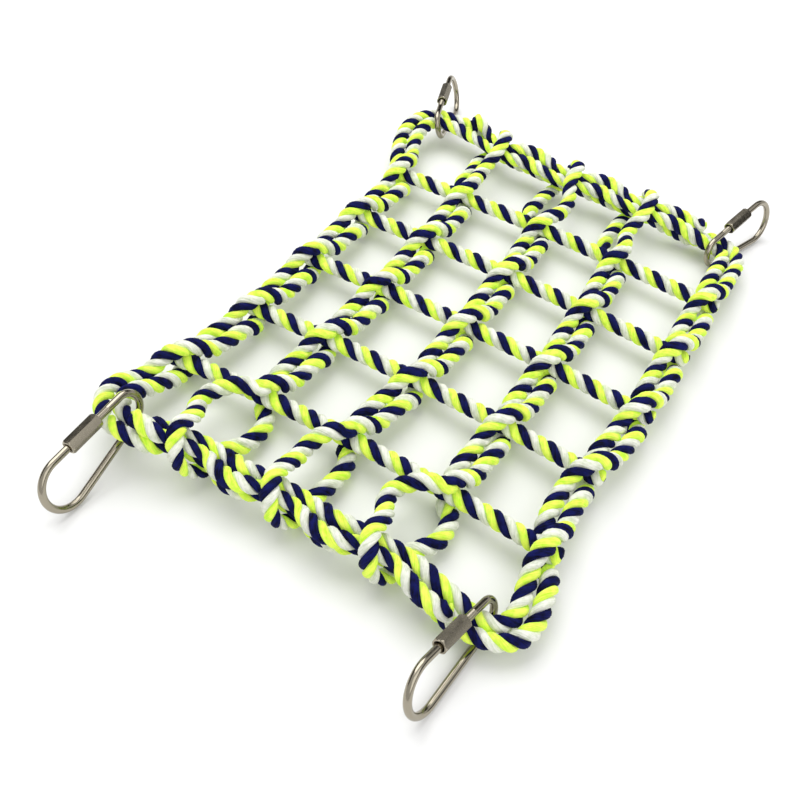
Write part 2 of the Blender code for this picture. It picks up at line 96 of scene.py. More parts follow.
# Rope: three strands laid together, each of several yarns
ROPE_RADIUS = 4.36
PRESSED_RADIUS = 3.36
HOOKED_RADIUS = 3.95
STRAND_HALF_ANGLE = 59.6
STRAND_CENTRE = 0.536
STRAND_RADIUS = 0.464
STRAND_CORE = 0.03
STRAND_POINTS = 21
YARNS = 5
YARN_RELIEF = 0.014
YARN_LAY = 21.0
STRAND_ROUNDNESS = 0.4
GROOVE_SOFT = 0.10
GROOVE_DEEP = 0.24
LAY = 16.2
PAIR_LAY = 16.8
STEP = 1.0
END_ROUNDING = 2.4

# A pair rope is wider and lower where it passes over or under a cross rope
FLAT_WIDER = 0.08
FLAT_LOWER = 0.09
FLAT_REACH = 8.8
FLAT_RAMP = 5.5

# Cross ropes are pressed flat where a pair passes over and under them
CROSS_END_REACH = 7.4
CROSS_HALF_HEIGHT = 3.25
CROSS_HALF_WIDTH = 5.3
CROSS_PRESS_REACH = 12.5
CROSS_PRESS_RAMP = 7.5

# Quick links
WIRE_RADIUS = 1.75
WIDE_RADIUS = 12.0
NARROW_RADIUS = 7.6
ARC_SPACING = 41.0
HOOK_OFFSET = 6.0
SLEEVE_START = 14.0
SLEEVE_LENGTH = 18.0
SLEEVE_RADIUS = 3.7
SLEEVE_BORE = 2.2
SLEEVE_END = 1.6
SLEEVE_SIDES = 96
WIRE_SIDES = 24
THREAD_LENGTH = 7.5
THREAD_PITCH = 0.7
THREAD_DEPTH = 0.13
THREAD_CHAMFER = 0.5
THREAD_TIP = 0.72
GAP_START = 15.5
GAP_END = 22.3
# Corner name: side along X, side along Y, hook height, then four angles in
# degrees: turn along the corner arc, slope of the link from wide to narrow end,
# turn in plan, lean
CORNERS = {
    "near_left": (-1, -1, 20.7, 8.0, 12.0, -2.0, 18.0),
    "near_right": (1, -1, 9.8, -8.0, -6.0, 6.0, 18.0),
    "far_left": (-1, 1, 15.2, 20.0, 3.5, 17.0, 18.0),
    "far_right": (1, 1, 10.4, 19.0, -5.0, -17.0, 15.0),
}

# Camera: place in metres, turn about X, Y and Z in degrees, lens in millimetres
CAMERA_PLACE = (0.1318, -0.3557, 0.3489)
CAMERA_TURN = (43.161, -5.690, 30.720)
CAMERA_LENS = 44.07
FLOOR_SIZE = 80.0
FLOOR_LEVEL = -0.45


# ---------------------------------------------------------------- layout

def smooth(value):
    """Ease from 0 to 1 with level ends."""
    value = min(max(value, 0.0), 1.0)
    return value * value * (3.0 - 2.0 * value)


def mix(start, end, share):
    """Value at a share of the way from start to end."""
    return start + (end - start) * share


def column_x(column, y):
    """Middle of a pair of lengthwise ropes at a place along the net."""
    bow = (y / 150.0) ** 2
    if column == "left_edge":
        return -93 - 11 * smooth((-y - 60) / 80) - 21 * smooth((y - 80) / 62)
    if column == "inner_left":
        return -50 - 9 * bow
    if column == "inner_middle":
        return -7 * bow - 5 * smooth((-y - 40) / 60)
    if column == "inner_right":
        return 48 - 8 * bow
    waist = math.exp(-((y + 75) / 40) ** 2)
    return 98 - 8 * waist + 3 * smooth((-y - 100) / 40)


def column_across(column, y):
    """Level unit vector square to a pair, towards +X."""
    rise = column_x(column, y + 0.5) - column_x(column, y - 0.5)
    across = np.array((1.0, -rise, 0.0))
    return across / np.linalg.norm(across)


def row_y(row, x):
    """Centreline of a cross rope; row 0 passes through the origin."""
    return CELL * row - ROW_BOW * (x / HALF_WIDTH) ** 2


def crossing_y(column, row):
    """Where a cross rope meets a pair."""
    y = CELL * row
    for _ in range(4):
        y = row_y(row, column_x(column, y))
    return y


def border_y(end, x):
    """Centreline of an end border; end is -1 for near and 1 for far."""
    left = smooth((-x - 45) / 40)
    right = smooth((x - 45) / 40)
    if end < 0:
        return -150.5 - 6 * left - right
    return 154.5 + 8 * left


def pair_point(column, strand, y):
    """Point on one rope of a pair; strand is 1 or -1.

    The ropes change places at every cross rope, one over it and one under it,
    and lie side by side in between.
    """
    x = column_x(column, y)
    phase = (y - row_y(0, x)) / CELL + 3.0
    cell = math.floor(phase)
    share = phase - cell
    if share < 0.5:
        turned = 0.5 * smooth(share / TWIST_SPAN)
    else:
        turned = 1.0 - 0.5 * smooth((1.0 - share) / TWIST_SPAN)
    angle = math.pi / 2 - math.pi * (cell + turned)
    spread = mix(PAIR_OFFSET, STACK_OFFSET, math.sin(angle) ** 2)
    across = column_across(column, y) * (strand * spread * math.cos(angle))
    return np.array((x, y, MID_Z + strand * spread * math.sin(angle))) + across


def corner_frame(side, end):
    """Column position, border position and arc start of a corner."""
    column = "left_edge" if side < 0 else "right_edge"
    y_border = border_y(end, side * 90)
    y_arc = y_border - end * CORNER_RADIUS
    return column_x(column, y_arc), y_border, y_arc


def corner_values(side, end):
    """Row of the corner table for one corner."""
    return next(v for v in CORNERS.values() if v[:2] == (side, end))


def hook_point(side, end):
    """Point on the border axis that the link of a corner swings about."""
    x_column, y_border, y_arc = corner_frame(side, end)
    height, arc_turn = corner_values(side, end)[2:4]
    x_centre = x_column - side * CORNER_RADIUS
    if arc_turn < 0:
        x = x_centre + side * CORNER_RADIUS * math.radians(arc_turn)
        return np.array((x, y_border, height))
    angle = math.radians(90 - arc_turn)
    return np.array((x_centre + side * CORNER_RADIUS * math.cos(angle),
                     y_arc + end * CORNER_RADIUS * math.sin(angle), height))


def hooked_share(side, end, axis):
    """1 where the border passes through a link, 0 well away from it."""
    distance = np.linalg.norm(axis - hook_point(side, end))
    return smooth((2 * HOOKED_SPAN - distance) / HOOKED_SPAN)


def loop_x(column, end):
    """Place along X where a loop wraps the border."""
    return LOOPS[(end, column)][0]


def border_press(end, x, reach):
    """1 where a loop squeezes the border bundle, 0 beyond a reach from any loop."""
    press = 0.0
    for column in INNER_COLUMNS:
        distance = abs(x - loop_x(column, end))
        press = max(press, smooth((reach - distance) / PRESS_RAMP))
    return press


def border_axis(end, x):
    """Middle line of an end border, drawn into the net by the loops."""
    side = -1 if x < 0 else 1
    share = smooth((abs(x) - 42) / 42)
    z = mix(BORDER_Z, corner_values(side, end)[2], share)
    pull = 0.0
    for column in INNER_COLUMNS:
        distance = abs(x - loop_x(column, end))
        pull = max(pull, smooth((PULL_REACH - distance) / PULL_RAMP))
    return np.array((x, border_y(end, x) - end * LOOP_PULL * pull, z))


# ---------------------------------------------------------------- rope paths

class Path:
    """Centreline of a rope with its half sizes and the hint its frame follows."""

    def __init__(self, points, half_hint, half_other, hint, first=None, last=None):
        self.points = np.array(points, float)
        self.half_hint = np.array(half_hint, float)
        self.half_other = np.array(half_other, float)
        along = np.gradient(self.points, axis=0)
        if first is not None:
            along[0] = first
        if last is not None:
            along[-1] = last
        self.along = along / np.linalg.norm(along, axis=1)[:, None]
        first_axis = hint - self.along * (self.along @ hint)[:, None]
        self.a = first_axis / np.linalg.norm(first_axis, axis=1)[:, None]
        self.b = np.cross(self.along, self.a)
        steps = np.linalg.norm(np.diff(self.points, axis=0), axis=1)
        self.length = np.concatenate(((0.0,), np.cumsum(steps)))


def resample(points, sizes, step=STEP):
    """Points and sizes at even steps along a run, with both ends kept."""
    points = np.array(points, float)
    sizes = np.array(sizes, float)
    gaps = np.linalg.norm(np.diff(points, axis=0), axis=1)
    keep = np.concatenate(((True,), gaps > 1e-6))
    points, sizes = points[keep], sizes[keep]
    length = np.concatenate(((0.0,), np.cumsum(gaps[keep[1:]])))
    count = max(int(round(length[-1] / step)), 2)
    places = np.linspace(0, length[-1], count + 1)
    out = np.stack([np.interp(places, length, points[:, i]) for i in range(3)], axis=1)
    wide = np.stack([np.interp(places, length, sizes[:, i]) for i in range(2)], axis=1)
    return out, wide


def relax(points, passes, hold):
    """Even out kinks, leaving a number of points at each end in place."""
    points = points.copy()
    weight = np.ones(len(points))
    weight[:hold] = 0
    weight[-hold:] = 0
    for _ in range(passes):
        middle = (points[:-2] + points[2:]) / 2
        points[1:-1] += (middle - points[1:-1]) * weight[1:-1, None] * 0.5
    return points


def spline(controls, steps):
    """Catmull-Rom curve through the control points."""
    points = []
    last = len(controls) - 1
    for index in range(last):
        a = controls[max(index - 1, 0)]
        b = controls[index]
        c = controls[index + 1]
        d = controls[min(index + 2, last)]
        for step in range(steps):
            t = step / steps
            bend = (2 * a - 5 * b + 4 * c - d) * t * t
            turn = (3 * b - 3 * c + d - a) * t ** 3
            points.append((2 * b + (c - a) * t + bend + turn) / 2)
    points.append(controls[last])
    return points


def pair_sizes(column, y, row):
    """Half sizes of a pair rope, level and upright: flatter over a cross rope."""
    flat = smooth((FLAT_REACH - abs(y - crossing_y(column, row))) / FLAT_RAMP)
    return ROPE_RADIUS * (1 + FLAT_WIDER * flat), ROPE_RADIUS * (1 - FLAT_LOWER * flat)


def pair_direction(column, strand, y):
    """Direction of a pair rope, towards the far end."""
    step = pair_point(column, strand, y + 0.2) - pair_point(column, strand, y - 0.2)
    return step / np.linalg.norm(step)


def pair_slice(column, strand, start, end):
    """Points and sizes of a pair rope between two places along Y."""
    count = max(int(round(abs(end - start) / STEP)), 2)
    points = []
    sizes = []
    for y in np.linspace(start, end, count + 1):
        # The bowed cross ropes lie a little before the places of their rows
        row = max(-2, min(2, round((y + 3) / CELL)))
        points.append(pair_point(column, strand, y))
        sizes.append(pair_sizes(column, y, row))
    return points, sizes


# ---------------------------------------------------------------- rope meshes

def strand_profile():
    """Angles and radii across the outside of one strand, for a rope of radius 1."""
    share = np.linspace(-1, 1, STRAND_POINTS)
    share = np.sign(share) * np.abs(share) ** 0.8
    angle = np.radians(STRAND_HALF_ANGLE) * share
    bulge = STRAND_RADIUS ** 2 - (STRAND_CENTRE * np.sin(angle)) ** 2
    round_strand = STRAND_CENTRE * np.cos(angle) + np.sqrt(np.maximum(bulge, 0))
    flat_strand = 1 - GROOVE_SOFT * np.abs(share) ** 2 - GROOVE_DEEP * np.abs(share) ** 9
    radius = mix(flat_strand, round_strand, STRAND_ROUNDNESS)
    return angle, radius


class MeshData:
    """Vertices, faces, material numbers and UVs gathered from several strands."""

    def __init__(self):
        self.vertices = []
        self.faces = []
        self.slots = []
        self.uvs = []
        self.count = 0

    def add_grid(self, rings, slot, u, v):
        """Closed tube through rings of shape (stations, points, 3), with caps."""
        stations, around = rings.shape[:2]
        base = self.count
        self.vertices.append(rings.reshape(-1, 3))
        self.count += stations * around
        index = np.arange(stations * around).reshape(stations, around) + base
        after = np.roll(index, -1, axis=1)
        quads = np.stack((index[:-1], after[:-1], after[1:], index[1:]), axis=-1)
        self.faces += quads.reshape(-1, 4).tolist()
        u_next = np.append(u[1:], u[0] + 1)
        uv = np.empty((stations - 1, around, 4, 2))
        uv[..., 0, 0] = uv[..., 3, 0] = u
        uv[..., 1, 0] = uv[..., 2, 0] = u_next
        uv[..., 0, 1] = uv[..., 1, 1] = v[:-1, None]
        uv[..., 2, 1] = uv[..., 3, 1] = v[1:, None]
        self.uvs.append(uv.reshape(-1, 2))
        self.faces.append(index[0][::-1].tolist())
        self.uvs.append(np.stack((u[::-1], np.full(around, v[0])), axis=1))
        self.faces.append(index[-1].tolist())
        self.uvs.append(np.stack((u, np.full(around, v[-1])), axis=1))
        self.slots += [slot] * ((stations - 1) * around + 2)

    def make(self, name, materials):
        """Object from all that was gathered, in metres."""
        data = bpy.data.meshes.new(name)
        vertices = np.concatenate(self.vertices) * MM
        data.from_pydata(vertices.tolist(), [], self.faces)
        layer = data.uv_layers.new(name="UVMap")
        layer.data.foreach_set("uv", np.concatenate(self.uvs).astype(np.float32).ravel())
        data.polygons.foreach_set("material_index", self.slots)
        data.polygons.foreach_set("use_smooth", [True] * len(data.polygons))
        data.set_sharp_from_angle(angle=math.radians(60))
        for material in materials:
            data.materials.append(material)
        data.update()
        part = bpy.data.objects.new(name, data)
        bpy.context.scene.collection.objects.link(part)
        return part


def ripple(length, seed, size):
    """Slow smooth variation along a rope, the same for the same seed."""
    total = np.zeros_like(length)
    for index, wave in enumerate((53.0, 31.0, 17.0)):
        total += np.sin(2 * math.pi * (length / wave + seed * 0.37 + index * 0.21)) / (index + 1)
    return total * size / 1.8


def rounded_end(distance):
    """Share of the full size at a distance from a rope's cut end."""
    share = np.clip(distance / END_ROUNDING, 0, 1)
    return 0.45 + 0.55 * np.sqrt(1 - (1 - share) ** 2)


def add_rope(mesh, path, phase, order, seed=0.0, round_ends=False):
    """Three strands round a path; phase is the turn of the first strand."""
    angle, radius = strand_profile()
    outer = len(angle)
    scale = np.ones(len(path.length))
    if round_ends:
        scale *= rounded_end(path.length) * rounded_end(path.length[-1] - path.length)
    # Single yarns stand a little proud and turn slowly across the strand
    across = (angle / math.radians(STRAND_HALF_ANGLE))[None, :]
    yarn_turn = math.pi * YARNS * across + 2 * math.pi * path.length[:, None] / YARN_LAY
    relief = 1 + YARN_RELIEF * np.cos(yarn_turn) * (1 - across ** 4)
    for strand in range(3):
        swell = 1 + ripple(path.length, seed + strand * 1.7, 0.012)
        turn = phase + 2 * math.pi * strand / 3
        theta = turn[:, None] + angle[None, :]
        reach = radius[None, :] * relief * (scale * swell)[:, None]
        first = np.cos(theta) * reach * path.half_hint[:, None]
        second = np.sin(theta) * reach * path.half_other[:, None]
        ring = (path.points[:, None, :] + path.a[:, None, :] * first[..., None]
                + path.b[:, None, :] * second[..., None])
        inner = (path.points + path.a * (STRAND_CORE * np.cos(turn))[:, None]
                 + path.b * (STRAND_CORE * np.sin(turn))[:, None])
        rings = np.concatenate((ring, inner[:, None, :]), axis=1)
        u = np.append(np.linspace(0, 0.9, outer), 0.95)
        mesh.add_grid(rings, order[strand], u, path.length * 0.01 + strand * 3.1 + seed)


# ---------------------------------------------------------------- materials

def fibre_material(name, colour, painted_gap_shade, glow, shine):
    """Silky yarn: fine fibres run along the strand, the colour is lightly mottled.

    The second colour is painted shade, laid between the fibres where the yarn relief is low
    and mixed with random blotches; the glow is the sheen of loose fibre ends, and the shine is
    the strength of plain reflections.
    """
    material = bpy.data.materials.new(name)
    material.use_nodes = True
    nodes = material.node_tree.nodes
    links = material.node_tree.links
    shader = nodes["Principled BSDF"]
    shader.inputs["Roughness"].default_value = 0.7
    shader.inputs["Sheen Weight"].default_value = glow
    shader.inputs["Sheen Roughness"].default_value = 0.4
    shader.inputs["Specular IOR Level"].default_value = shine
    uv = nodes.new("ShaderNodeUVMap")
    uv.uv_map = "UVMap"
    fibres = streak_noise(nodes, links, uv, (30.0, 22.0, 1.0), 0.75)
    bundles = streak_noise(nodes, links, uv, (10.0, 18.0, 1.0), 0.5)
    coords = nodes.new("ShaderNodeTexCoord")
    blotch = nodes.new("ShaderNodeTexNoise")
    blotch.inputs["Scale"].default_value = 330.0
    blotch.inputs["Detail"].default_value = 2.0
    links.new(coords.outputs["Object"], blotch.inputs["Vector"])
    yarn = mixed_height(nodes, links, fibres, bundles, 0.6)
    # Painted shade: where the yarn relief is low, between the fibres, the colour runs to the
    # darker second colour; random blotches are mixed in
    gap_shade_and_mottle = mixed_height(nodes, links, yarn, blotch.outputs["Fac"], 0.35)
    ramp = nodes.new("ShaderNodeValToRGB")
    ramp.color_ramp.elements[0].position = 0.40
    ramp.color_ramp.elements[0].color = (*painted_gap_shade, 1.0)
    ramp.color_ramp.elements[1].position = 0.56
    ramp.color_ramp.elements[1].color = (*colour, 1.0)
    links.new(gap_shade_and_mottle, ramp.inputs["Fac"])
    links.new(ramp.outputs["Color"], shader.inputs["Base Color"])
    bump = nodes.new("ShaderNodeBump")
    bump.inputs["Strength"].default_value = 0.8
    bump.inputs["Distance"].default_value = 0.0012
    links.new(yarn, bump.inputs["Height"])
    links.new(bump.outputs["Normal"], shader.inputs["Normal"])
    return material


def streak_noise(nodes, links, uv, scale, roughness):
    """Noise drawn out along the strand; scale is across, along and unused."""
    mapping = nodes.new("ShaderNodeMapping")
    mapping.inputs["Scale"].default_value = scale
    mapping.inputs["Rotation"].default_value = (0.0, 0.0, 0.03)
    noise = nodes.new("ShaderNodeTexNoise")
    noise.inputs["Scale"].default_value = 1.0
    noise.inputs["Detail"].default_value = 4.0
    noise.inputs["Roughness"].default_value = roughness
    links.new(uv.outputs["UV"], mapping.inputs["Vector"])
    links.new(mapping.outputs["Vector"], noise.inputs["Vector"])
    return noise.outputs["Fac"]


def mixed_height(nodes, links, first, second, share):
    """Blend of two sockets, with a share of the second."""
    mixer = nodes.new("ShaderNodeMix")
    mixer.inputs["Factor"].default_value = share
    links.new(first, mixer.inputs["A"])
    links.new(second, mixer.inputs["B"])
    return mixer.outputs["Result"]


def nickel_material(name, roughness):
    """Warm dark nickel plate with a slightly uneven polish."""
    material = bpy.data.materials.new(name)
    material.use_nodes = True
    nodes = material.node_tree.nodes
    links = material.node_tree.links
    shader = nodes["Principled BSDF"]
    shader.inputs["Metallic"].default_value = 1.0
    shader.inputs["Base Color"].default_value = (0.36, 0.325, 0.255, 1.0)
    coords = nodes.new("ShaderNodeTexCoord")
    noise = nodes.new("ShaderNodeTexNoise")
    noise.inputs["Scale"].default_value = 420.0
    noise.inputs["Detail"].default_value = 3.0
    links.new(coords.outputs["Object"], noise.inputs["Vector"])
    scale = nodes.new("ShaderNodeMapRange")
    scale.inputs["To Min"].default_value = roughness - 0.05
    scale.inputs["To Max"].default_value = roughness + 0.12
    links.new(noise.outputs["Fac"], scale.inputs["Value"])
    links.new(scale.outputs["Result"], shader.inputs["Roughness"])
    bump = nodes.new("ShaderNodeBump")
    bump.inputs["Strength"].default_value = 0.06
    bump.inputs["Distance"].default_value = 0.0002
    links.new(noise.outputs["Fac"], bump.inputs["Height"])
    links.new(bump.outputs["Normal"], shader.inputs["Normal"])
    return material


# The second colour of each yarn is painted shade for the gaps between fibres; the greenish cast
# in the white yarn's is painted light bounced off the neon strands
FIBRES = [
    fibre_material("navy_yarn", (0.005, 0.008, 0.105), (0.0004, 0.0005, 0.005), 0.0, 0.12),
    fibre_material("neon_yarn", (0.90, 1.0, 0.13), (0.52, 0.90, 0.02), 0.15, 0.3),
    fibre_material("white_yarn", (0.95, 0.96, 0.86), (0.66, 0.72, 0.54), 0.2, 0.3),
]
# Painted glow: a fixed emission makes the neon yarn give off light of its own, standing in for
# the extra brightness of its fluorescent dye
NEON_SHADER = FIBRES[1].node_tree.nodes["Principled BSDF"]
NEON_SHADER.inputs["Emission Color"].default_value = (0.62, 1.0, 0.10, 1.0)
NEON_SHADER.inputs["Emission Strength"].default_value = 0.16
FORWARD = (0, 1, 2)
BACKWARD = (0, 2, 1)
WIRE_FINISH = nickel_material("nickel_wire", 0.13)
SLEEVE_FINISH = nickel_material("nickel_sleeve", 0.22)

# First strand's turn and colour order of each rope: (column, strand) or cross rope
PAIR_PHASE = {
    ("left_edge", 1): (0.3, FORWARD), ("left_edge", -1): (2.2, BACKWARD),
    ("inner_left", 1): (1.1, BACKWARD), ("inner_left", -1): (3.0, FORWARD),
    ("inner_middle", 1): (4.0, FORWARD), ("inner_middle", -1): (0.7, BACKWARD),
    ("inner_right", 1): (2.6, BACKWARD), ("inner_right", -1): (5.1, FORWARD),
    ("right_edge", 1): (5.7, FORWARD), ("right_edge", -1): (1.6, BACKWARD),
}
CROSS_PHASE = {
    1: (0.5, FORWARD), 2: (1.9, FORWARD), 3: (3.4, BACKWARD), 4: (0.2, FORWARD),
    5: (2.4, FORWARD),
}


# ---------------------------------------------------------------- lengthwise ropes

def pair_phase_at(column, strand, y):
    """Turn of the first strand at a place along a pair rope."""
    start = crossing_y(column, -2)
    count = max(int(abs(y - start)), 1) + 1
    line = [pair_point(column, strand, v) for v in np.linspace(start, y, count)]
    length = np.linalg.norm(np.diff(np.array(line), axis=0), axis=1).sum()
    length = math.copysign(length, y - start)
    return PAIR_PHASE[(column, strand)][0] + 2 * math.pi * length / PAIR_LAY


def make_pair_span(column, span):
    """Both ropes of a pair from one cross rope to the next, over one fold."""
    row = span - 3
    start = crossing_y(column, row)
    end = crossing_y(column, row + 1)
    mesh = MeshData()
    for strand in (1, -1):
        points, sizes = pair_slice(column, strand, start, end)
        sizes = np.array(sizes)
        path = Path(points, sizes[:, 0], sizes[:, 1], X_AXIS,
                    pair_direction(column, strand, start), pair_direction(column, strand, end))
        first = pair_phase_at(column, strand, start)
        last = pair_phase_at(column, strand, end)
        phase = first + (last - first) * path.length / path.length[-1]
        order = PAIR_PHASE[(column, strand)][1]
        add_rope(mesh, path, phase, order)
    part = mesh.make("%s_pair_span_%d" % (column, span), FIBRES)
    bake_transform(part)
    # The last span stands for the same two solids as the third
    panel = min(span + 1, 4)
    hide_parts("%s_rope_a_panel_%d" % (column, panel),
                "%s_rope_b_panel_%d" % (column, panel))


# ---------------------------------------------------------------- cross ropes

def make_cross_rope(number):
    """Rope across the net, with rounded ends outside the edge pairs."""
    row = number - 3
    left = column_x("left_edge", crossing_y("left_edge", row)) - CROSS_END_REACH
    right = column_x("right_edge", crossing_y("right_edge", row)) + CROSS_END_REACH
    points = []
    sizes = []
    for x in np.linspace(left, right, int(right - left) + 1):
        press = 0.0
        for column in COLUMNS:
            distance = abs(x - column_x(column, crossing_y(column, row)))
            press = max(press, smooth((CROSS_PRESS_REACH - distance) / CROSS_PRESS_RAMP))
        points.append((x, row_y(row, x), MID_Z))
        sizes.append((mix(ROPE_RADIUS, CROSS_HALF_HEIGHT, press),
                      mix(ROPE_RADIUS, CROSS_HALF_WIDTH, press)))
    points, sizes = resample(points, sizes, 0.9)
    path = Path(points, sizes[:, 0], sizes[:, 1], Z_AXIS)
    start, order = CROSS_PHASE[number]
    phase = start + 2 * math.pi * path.length / LAY + ripple(path.length, number, 0.25)
    mesh = MeshData()
    add_rope(mesh, path, phase, order, seed=number, round_ends=True)
    name = "cross_rope_%d_twisted" % number
    part = mesh.make(name, FIBRES)
    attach(part, PANELS[number - 1])
    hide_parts("cross_rope_%d" % number)


# ---------------------------------------------------------------- end borders

def border_rope_at(end, x, kind):
    """Point and radius of one of the three border ropes in the middle of an end."""
    axis = border_axis(end, x)
    share = smooth((84 - abs(x)) / 16)
    radius = mix(ROPE_RADIUS, PRESSED_RADIUS, border_press(end, x, ROPE_PRESS_REACH))
    bundle_press = border_press(end, x, BUNDLE_PRESS_REACH)
    bundle = mix(BUNDLE_RADIUS, BUNDLE_RADIUS_PRESSED, bundle_press)
    roll = 8 * x / CORE_START * share
    hooked = hooked_share(-1 if x < 0 else 1, end, axis)
    apart = mix(PAIR_OFFSET, HOOKED_OFFSET, hooked)
    if kind != "core":
        radius = mix(radius, HOOKED_RADIUS, hooked)
    if kind == "outer":
        angle = mix(180, 260, share)
        distance = mix(apart, bundle, share)
    elif kind == "inner":
        angle = mix(0, 20, share)
        distance = mix(apart, bundle, share)
    else:
        angle = mix(90, 140, share)
        distance = mix(CORE_LIFT, bundle, share)
    turn = math.radians(angle + roll)
    step = border_axis(end, x + 0.5) - border_axis(end, x - 0.5)
    inward = np.array((step[1], -step[0], 0.0)) * end
    inward /= np.linalg.norm(inward)
    offset = (inward * math.cos(turn) + Z_AXIS * math.sin(turn)) * distance
    return axis + offset, (radius, radius)


def corner_run(side, end, sign):
    """Points and sizes of a border rope from its pair round to the end of the arc."""
    column = "left_edge" if side < 0 else "right_edge"
    x_column, y_border, y_arc = corner_frame(side, end)
    height = corner_values(side, end)[2]
    start = crossing_y(column, 2 * end) + end * 19
    centre = np.array((x_column - side * CORNER_RADIUS, y_arc, height))
    run = []
    for step in range(1, 21):
        y = mix(start, y_arc, step / 20)
        z = mix(MID_Z, height, smooth(step / 20))
        run.append((np.array((column_x(column, y), y, z)), column_across(column, y) * -side))
    for step in range(1, 21):
        angle = math.pi / 2 * step / 20
        outward = np.array((side * math.cos(angle), end * math.sin(angle), 0.0))
        run.append((centre + outward * CORNER_RADIUS, -outward))
    points = []
    sizes = []
    for axis, inward in run:
        share = hooked_share(side, end, axis)
        radius = mix(ROPE_RADIUS, HOOKED_RADIUS, share)
        points.append(axis + inward * (sign * mix(PAIR_OFFSET, HOOKED_OFFSET, share)))
        sizes.append((radius, radius))
    return points, sizes


def seam_phase(path, index, direction):
    """Turn, in a path's own frame, of a direction square to the path."""
    return math.atan2(direction @ path.b[index], direction @ path.a[index])


def seam_direction(column, strand, y):
    """Where the first strand of a pair rope points at a place along it."""
    along = pair_direction(column, strand, y)
    first = X_AXIS - along * (along @ X_AXIS)
    first /= np.linalg.norm(first)
    second = np.cross(along, first)
    turn = pair_phase_at(column, strand, y)
    return first * math.cos(turn) + second * math.sin(turn)


def matched_phase(path, first, last, lay):
    """Even turn from one seam to the other, as near the lay as fits."""
    start = seam_phase(path, 0, first)
    stop = seam_phase(path, -1, last)
    ideal = 2 * math.pi * path.length[-1] / lay
    turns = round((ideal - (stop - start)) / (2 * math.pi))
    total = stop - start + 2 * math.pi * turns
    return start + total * path.length / path.length[-1]


def seam_order(seam, end):
    """Colour order of a rope that carries on from a pair rope at a seam.

    At the near end the rope is followed the other way along, so it shows its
    colours in the other order.
    """
    order = PAIR_PHASE[seam[:2]][1]
    if end < 0:
        return (order[0], order[2], order[1])
    return order


def make_border_rope(end, kind):
    """Outer or inner border rope, from the last cross rope round both corners."""
    sign = -1 if kind == "outer" else 1
    halves = []
    seams = []
    for side in (-1, 1):
        column = "left_edge" if side < 0 else "right_edge"
        strand = side * sign * end
        seam = crossing_y(column, 2 * end)
        points, sizes = pair_slice(column, strand, seam, seam + end * 18.5)
        sizes = [(up, level) for level, up in sizes]
        more, more_sizes = corner_run(side, end, sign)
        halves.append((points + more, sizes + more_sizes))
        seams.append((column, strand, seam))
    left = corner_frame(-1, end)[0] + CORNER_RADIUS
    right = corner_frame(1, end)[0] - CORNER_RADIUS
    middle = [border_rope_at(end, x, kind) for x in np.linspace(left + 1, right - 1, 160)]
    points = halves[0][0] + [m[0] for m in middle] + halves[1][0][::-1]
    sizes = halves[0][1] + [m[1] for m in middle] + halves[1][1][::-1]
    points, sizes = resample(points, sizes)
    points = relax(points, passes=12, hold=6)
    directions = [pair_direction(*seam) for seam in seams]
    path = Path(points, sizes[:, 0], sizes[:, 1], Z_AXIS,
                directions[0] * end, directions[1] * -end)
    phase = matched_phase(path, seam_direction(*seams[0]), seam_direction(*seams[1]), PAIR_LAY)
    mesh = MeshData()
    order = seam_order(seams[0], end)
    add_rope(mesh, path, phase, order)
    word = "near" if end < 0 else "far"
    part = mesh.make("%s_border_%s_twisted_rope" % (word, kind), FIBRES)
    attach(part, word + "_panel")
    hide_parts("%s_border_%s_rope" % (word, kind))


def make_core_rope(end):
    """Third border rope, between the corners only."""
    points = []
    sizes = []
    for x in np.linspace(-CORE_START - 3.5, CORE_START - 4.5, 160):
        point, size = border_rope_at(end, x, "core")
        points.append(point)
        sizes.append(size)
    points, sizes = resample(points, sizes)
    path = Path(points, sizes[:, 0], sizes[:, 1], Z_AXIS)
    phase = 1.0 + 2 * math.pi * path.length / PAIR_LAY
    mesh = MeshData()
    add_rope(mesh, path, phase, BACKWARD, seed=4.0 + end, round_ends=True)
    word = "near" if end < 0 else "far"
    part = mesh.make(word + "_border_core_twisted_rope", FIBRES)
    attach(part, word + "_panel")
    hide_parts(word + "_border_core_rope")


# ---------------------------------------------------------------- end loops

def loop_controls(column, end):
    """Control points from the upper rope over, round and under the border."""
    x_wrap, x_eye, half_eye = LOOPS[(end, column)]
    crossing = crossing_y(column, 2 * end)
    inward = np.array((0.0, -end, 0.0))
    # Seen from above, the upper limb is on the left at the near end, right at the far
    first = border_axis(end, x_wrap + end * LOOP_SPREAD * 1.1) + inward * LOOP_ENTRY
    last = border_axis(end, x_wrap - end * LOOP_SPREAD * 1.1) + inward * LOOP_ENTRY
    upper = []
    lower = []
    for share, width, rise, drop in EYE_SHAPE:
        y = mix(crossing, (first[1] + last[1]) / 2, share)
        aside = end * half_eye * width
        middle = mix(column_x(column, crossing), x_eye, min(share / 0.45, 1))
        upper.append(np.array((middle + aside, y, MID_Z + rise)))
        lower.append(np.array((middle - aside, y, MID_Z + drop)))
    controls = upper + [first + Z_AXIS * LOOP_ENTRY_RISE]
    for step in range(9):
        angle = math.pi / 2 + math.pi * step / 8
        x = mix(x_wrap + end * LOOP_SPREAD, x_wrap - end * LOOP_SPREAD, step / 8)
        offset = inward * (LOOP_REACH * math.cos(angle)) + Z_AXIS * (LOOP_RISE * math.sin(angle))
        controls.append(border_axis(end, x) + offset)
    controls.append(last - Z_AXIS * LOOP_EXIT_DROP)
    return controls + lower[::-1]


